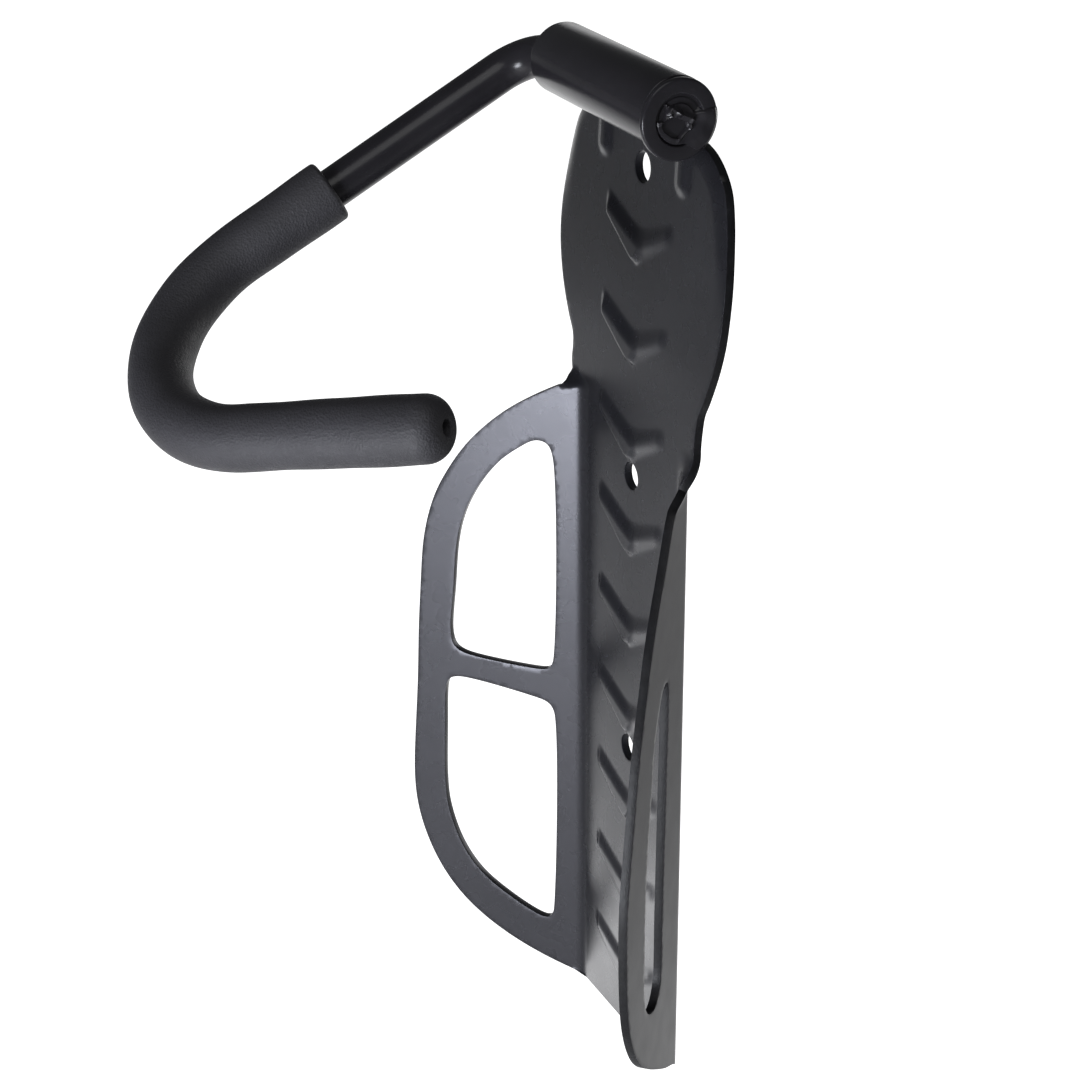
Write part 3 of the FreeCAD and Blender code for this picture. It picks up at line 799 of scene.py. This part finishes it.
# The staked end, in (y, z) from the pivot's axis.
PUNCH_HOLLOW = [
    (-4.9, -2.6), (-2.4, -4.6), (-0.3, -5.2), (2.6, -2.3), (2.3, -0.7), (-0.8, 0.7), (-4.0, 0.8),
    (-5.5, -0.8),
]
TORN_RIDGES = [  # start, end, half width and height
    ((-3.7, 4.4), (-0.4, 1.9), 1.3, 0.9),
    ((-0.4, 1.9), (3.7, 0.0), 1.2, 0.9),
    ((-3.9, 4.2), (-2.8, 1.6), 0.9, 0.8),
    ((-5.6, -0.3), (-2.8, 1.3), 0.8, 0.6),
    ((3.1, -2.3), (-0.4, -5.4), 0.8, 0.5),
    ((3.6, -0.1), (3.1, -2.3), 0.8, 0.5),
]
END_R, LOBE_REACH = 7.0, 4.25
HOLLOW_DEPTH, CRESCENT_DEPTH = 2.6, 1.7
STAKED_SIDES, STAKED_RINGS = 200, 56


def staked_height(y, z, spread):
    """How far the struck end stands out past the washer's face; spread is 1 where the lobe is."""
    radius = np.hypot(y, z)
    angle = np.degrees(np.arctan2(z, y))
    height = -0.25 + 0.95 * spread * smoothstep(4.0, 7.5, radius)
    height -= 0.55 * spread * smoothstep(9.8, 11.2, radius)
    crescent = smoothstep(8.0, 40.0, angle) * (1.0 - smoothstep(150.0, 200.0, angle % 360.0))
    height -= CRESCENT_DEPTH * crescent * smoothstep(4.2, 5.2, radius)
    height -= HOLLOW_DEPTH * into_hollow(y, z, PUNCH_HOLLOW, 0.9)
    for start, end, width, rise in TORN_RIDGES:
        height += rise * bump_along(y, z, start, end, width)
    return height + 0.12 * np.sin(0.7 * y + 0.9 * z + 1.0)


def build_staked_end(material):
    """The rod's end, struck over: a punched hollow, torn ridges and a lobe spread over the washer."""
    sides, rings = STAKED_SIDES, STAKED_RINGS
    turn = np.linspace(0, 2 * np.pi, sides, endpoint=False)
    share = np.linspace(0.0, 1.0, rings + 1)[1:]
    turn_deg = np.degrees(turn - 2 * np.pi * (turn > np.pi))
    spread = smoothstep(-80.0, -50.0, turn_deg) * (1.0 - smoothstep(12.0, 20.0, turn_deg))
    radius = share[:, None] * (END_R + LOBE_REACH * spread)[None, :]
    y, z = radius * np.cos(turn), radius * np.sin(turn)
    height = staked_height(y, z, spread[None, :])
    edge_fall = smoothstep(0.93, 1.0, share)[:, None]
    edge_height = np.where(spread > 0.5, -0.25, -1.0)[None, :]
    height = height * (1.0 - edge_fall) + edge_fall * edge_height
    top = np.stack([WASHER_RIGHT + height, AXIS_Y + y, PIVOT_Z + z], 2).reshape(-1, 3)
    centre = (WASHER_RIGHT + height[0].mean(), AXIS_Y, PIVOT_Z)
    foot_x, foot_r = WASHER_RIGHT - 1.2, 6.8
    foot = [(foot_x, AXIS_Y + foot_r * math.cos(t), PIVOT_Z + foot_r * math.sin(t)) for t in turn]
    faces = [(0, 1 + s, 1 + (s + 1) % sides) for s in range(sides)]
    for r in range(rings):
        inner, outer = 1 + r * sides, 1 + (r + 1) * sides
        for s in range(sides):
            t = (s + 1) % sides
            faces.append((inner + s, outer + s, outer + t, inner + t))
    faces.append(tuple(1 + rings * sides + s for s in range(sides - 1, -1, -1)))
    points = [centre] + [tuple(point) for point in top.tolist()] + foot
    return finish_mesh("staked_rod_end", points, faces, material, 32.0)


WELD_LENGTH, WELD_R, WELD_RIPPLES, WELD_STEPS = 22.0, 2.15, 13, 120
WELD_Y, WELD_Z = 1.9, 111.2


def build_welds(material):
    """Two rippled weld runs in the corner between the top of the plate and the tube."""
    pieces = []
    for label, centre_x in (("weld_left", -15.0), ("weld_right", 15.0)):
        line = []
        radii = []
        for i in range(WELD_STEPS + 1):
            t = i / WELD_STEPS
            ripple = 0.16 * abs(math.sin(math.pi * WELD_RIPPLES * t))
            unevenness = 0.10 * math.sin(5.1 * math.pi * t + centre_x)
            taper = math.sqrt(max(0.0, 1.0 - abs(2 * t - 1) ** 8))
            line.append(Vector((centre_x + WELD_LENGTH * (t - 0.5), WELD_Y, WELD_Z)))
            radii.append(0.2 + (WELD_R + ripple + unevenness) * taper)
        pieces.append(swept(label, line, radii, material, 32))
    return pieces


def place_on(line, lengths, s):
    """The point a length s along a line, and the index of the stretch that it is on."""
    i = int(np.clip(np.searchsorted(lengths, s) - 1, 0, len(line) - 2))
    t = (s - lengths[i]) / (lengths[i + 1] - lengths[i])
    return line[i].lerp(line[i + 1], t), i


FOAM_LIP_R, FOAM_NOSE_R = 1.4, 6.6
DIMPLE_R, DIMPLE_DEPTH, DIMPLE_ROUND = 2.5, 3.2, 0.7
FOAM_SIDES = 96


def foam_profile(total):
    """The sleeve's section as (length along, radius): lip, side, rounded nose, then the dimple."""
    profile = [(2.0, ROD_R + 0.02), (0.25, ROD_R + 0.10), (0.05, ROD_R + 0.5)]
    for i in range(1, 9):
        a = math.radians(90.0 * i / 8)
        profile.append((FOAM_LIP_R * (1 - math.cos(a)), FOAM_R - FOAM_LIP_R + FOAM_LIP_R * math.sin(a)))
    side = np.arange(FOAM_LIP_R + 1.0, total - FOAM_NOSE_R - 0.5, 1.0)
    profile += [(s, FOAM_R) for s in side]
    nose_start, nose_centre_r = total - FOAM_NOSE_R, FOAM_R - FOAM_NOSE_R
    for i in range(15):
        a = math.radians(90.0 * i / 14)
        radius = nose_centre_r + FOAM_NOSE_R * math.cos(a)
        profile.append((nose_start + FOAM_NOSE_R * math.sin(a), radius))
    for i in range(1, 7):
        a = math.radians(90.0 * i / 6)
        profile.append((total - DIMPLE_ROUND * (1 - math.cos(a)), DIMPLE_R - 0.25 * math.sin(a)))
    bottom = total - DIMPLE_DEPTH
    profile += [(total - 1.6, DIMPLE_R - 0.35), (bottom, DIMPLE_R - 0.5), (bottom - 0.2, 0.4)]
    return profile


def build_foam_sleeve(material):
    """The foam grip over the arm, bend and tip, with a slightly uneven thickness."""
    line = hook_line(start_on_arm=FOAM_START, step=1.2)
    lengths = np.concatenate([[0.0], np.cumsum([(b - a).length for a, b in zip(line, line[1:])])])
    total = float(lengths[-1])
    profile = foam_profile(total)
    frames = carried_frames(line)
    points = []
    for s, radius in profile:
        place, i = place_on(line, lengths, min(max(s, 0.0), total))
        side, other = frames[i]
        swell = 0.10 * math.sin(s * 0.11 + 1.0) + 0.06 * math.sin(s * 0.29)
        fade = min(1.0, max(0.0, (radius - ROD_R - 0.5) / 2.0))
        for k in range(FOAM_SIDES):
            angle = 2 * math.pi * k / FOAM_SIDES
            uneven = 0.09 * math.sin(2 * angle + s * 0.05) + 0.05 * math.sin(3 * angle - s * 0.09)
            outward = side * math.cos(angle) + other * math.sin(angle)
            points.append(place + outward * (radius + (swell + uneven) * fade))
    faces = ring_faces(len(profile), FOAM_SIDES, False, True)
    return finish_mesh("foam_grip", points, faces, material, 60.0)


# ---- camera, light and floor --------------------------------------------------------------------

CAMERA_PLACE = (0.6328, -0.3285, 0.2964)
CAMERA_AZIMUTH, CAMERA_ELEVATION, CAMERA_ROLL = 64.892, 24.007, -0.179
CAMERA_LENS = 87.82


def build_camera():
    data = bpy.data.cameras.new("camera")
    data.lens = CAMERA_LENS
    data.sensor_width = 36.0
    camera = bpy.data.objects.new("camera", data)
    bpy.context.scene.collection.objects.link(camera)
    turn = Euler((math.radians(90 - CAMERA_ELEVATION), 0.0, math.radians(CAMERA_AZIMUTH))).to_matrix()
    roll = Matrix.Rotation(math.radians(CAMERA_ROLL), 3, "Z")
    camera.matrix_world = Matrix.Translation(CAMERA_PLACE) @ (turn @ roll).to_4x4()
    bpy.context.scene.camera = camera


# The floor's emission paints a beam of light on it: a painted pool of light that spreads from a point
# near the camera and shows only behind the rack. A slant is a sideways distance divided by the distance
# from that point.
BEAM_TURN = math.radians(154.9)
BEAM_APEX = 0.95
BEAM_SIDES = [(-0.187, -0.212), (0.30, 0.68)]  # slants where it starts to fade and has faded
BEAM_NEAR = (0.16, 0.26)  # distances past the origin where it starts to show and is full
DIM_LEVEL, BEAM_LEVEL = 0.11, 1.04
# Two painted glows: bright patches added to the floor's emission, which light the rack like lamps.
PAINTED_GLOWS = [((-0.45, -0.21, 0.0), 0.17, 1.5), ((0.22, -0.56, 0.0), 0.46, 1.9)]  # place, radius, gain


def floor_with_painted_beam():
    """A pale floor whose emission paints a broad beam of light across it behind the rack, and two soft
    painted glows.
    """
    n = Nodes("floor_with_painted_beam")
    turn = n.add("ShaderNodeVectorRotate", rotation_type="Z_AXIS")
    turn.inputs["Angle"].default_value = -BEAM_TURN
    n.link(n.place, turn.inputs["Vector"])
    split = n.add("ShaderNodeSeparateXYZ")
    n.link(turn.outputs["Vector"], split.inputs["Vector"])
    depth = n.add("ShaderNodeMath", operation="ADD")
    depth.inputs[1].default_value = BEAM_APEX
    n.link(split.outputs["X"], depth.inputs[0])
    behind = n.add("ShaderNodeMath", operation="MAXIMUM")
    behind.inputs[1].default_value = 0.05
    n.link(depth.outputs["Value"], behind.inputs[0])
    slant = n.add("ShaderNodeMath", operation="DIVIDE")
    n.link(split.outputs["Y"], slant.inputs[0])
    n.link(behind.outputs["Value"], slant.inputs[1])
    left, right = (n.fade(slant.outputs["Value"], faded, lit) for lit, faded in BEAM_SIDES)
    near = n.fade(split.outputs["X"], *BEAM_NEAR)
    level = n.spread(n.product(n.product(left, right), near), DIM_LEVEL, BEAM_LEVEL)
    # Each painted glow adds a soft bright patch to the floor's emission.
    for place, radius, gain in PAINTED_GLOWS:
        patch = n.add("ShaderNodeMapping", vector_type="TEXTURE")
        patch.inputs["Location"].default_value = place
        patch.inputs["Scale"].default_value = (radius, radius, 1.0)
        n.link(n.place, patch.inputs["Vector"])
        painted_glow = n.add("ShaderNodeTexGradient", gradient_type="SPHERICAL")
        n.link(patch.outputs["Vector"], painted_glow.inputs["Vector"])
        level = n.total(level, painted_glow.outputs["Fac"], gain)
    n.link(level, n.shader.inputs["Emission Strength"])
    n.shader.inputs["Emission Color"].default_value = (1.0, 1.0, 1.0, 1.0)
    n.shader.inputs["Base Color"].default_value = (0.8, 0.8, 0.8, 1.0)
    n.shader.inputs["Roughness"].default_value = 0.9
    n.shader.inputs["Specular IOR Level"].default_value = 0.1
    return n.material


FLOOR_SIZE, FLOOR_Z = 16.0, -0.42


def build_floor():
    bpy.ops.mesh.primitive_plane_add(size=FLOOR_SIZE, location=(0.0, 0.0, FLOOR_Z))
    floor = bpy.context.object
    floor.name = "floor"
    floor.data.materials.append(floor_with_painted_beam())


COOL_WHITE = (0.90, 0.93, 1.0)
NEUTRAL = (1.0, 1.0, 1.0)
AREA_LIGHTS = [  # name, place, target, (width, height), watts, colour
    ("front_strip", (0.50, -0.98, -0.28), (-0.05, -0.03, -0.05), (0.40, 0.40), 22.0, COOL_WHITE),
    ("low_left", (-0.20, -0.10, -0.31), (0.0, 0.0, -0.185), (0.08, 0.08), 0.05, NEUTRAL),
    ("behind", (-0.6, 1.3, 0.05), (0.0, 0.0, -0.02), (1.2, 0.8), 7.0, NEUTRAL),
    ("overhead", (0.8, -0.4, 1.2), (0.0, -0.06, 0.05), (0.9, 0.9), 7.0, NEUTRAL),
    ("back_left", (-1.5, 1.05, 0.30), (0.0, 0.0, 0.1), (1.0, 0.5), 1.6, NEUTRAL),
]


def area_light(name, place, target, size, power, colour):
    data = bpy.data.lights.new(name, "AREA")
    data.shape = "RECTANGLE"
    data.size, data.size_y = size
    data.energy = power
    data.color = colour
    light = bpy.data.objects.new(name, data)
    bpy.context.scene.collection.objects.link(light)
    light.location = place
    aim = Vector(target) - Vector(place)
    light.rotation_euler = aim.to_track_quat("-Z", "Y").to_euler()


def build_lights():
    world = bpy.data.worlds.new("studio")
    bpy.context.scene.world = world
    world.use_nodes = True
    background = world.node_tree.nodes["Background"]
    background.inputs["Color"].default_value = (0.93, 0.96, 1.0, 1.0)
    background.inputs["Strength"].default_value = 0.12
    for light in AREA_LIGHTS:
        area_light(*light)


# ---- put it together ------------------------------------------------------------------------------

bpy.context.scene.view_settings.view_transform = "Standard"
build_camera()
build_floor()
build_lights()

satin = satin_powder_coat()
gloss = gloss_powder_coat()
foam_material = foam_rubber()

plate = build_plate(satin, thin_edge_coat(), back_face_coat())
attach(plate, "wall_plate")
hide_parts("back_plate")

barrel = build_barrel(gloss)
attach(barrel, "wall_plate")
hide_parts("pivot_barrel")

for weld in build_welds(gloss):
    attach(weld, "wall_plate")
    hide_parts("weld_beads")

rod = build_rod(gloss)
staked = build_staked_end(gloss)
for piece in (rod, staked):
    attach(piece, "hook")
    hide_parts("hook_rod")

washer = build_washer(gloss)
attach(washer, "hook")
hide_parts("end_washer")

foam = build_foam_sleeve(foam_material)
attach(foam, "hook")
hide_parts("foam_sleeve")
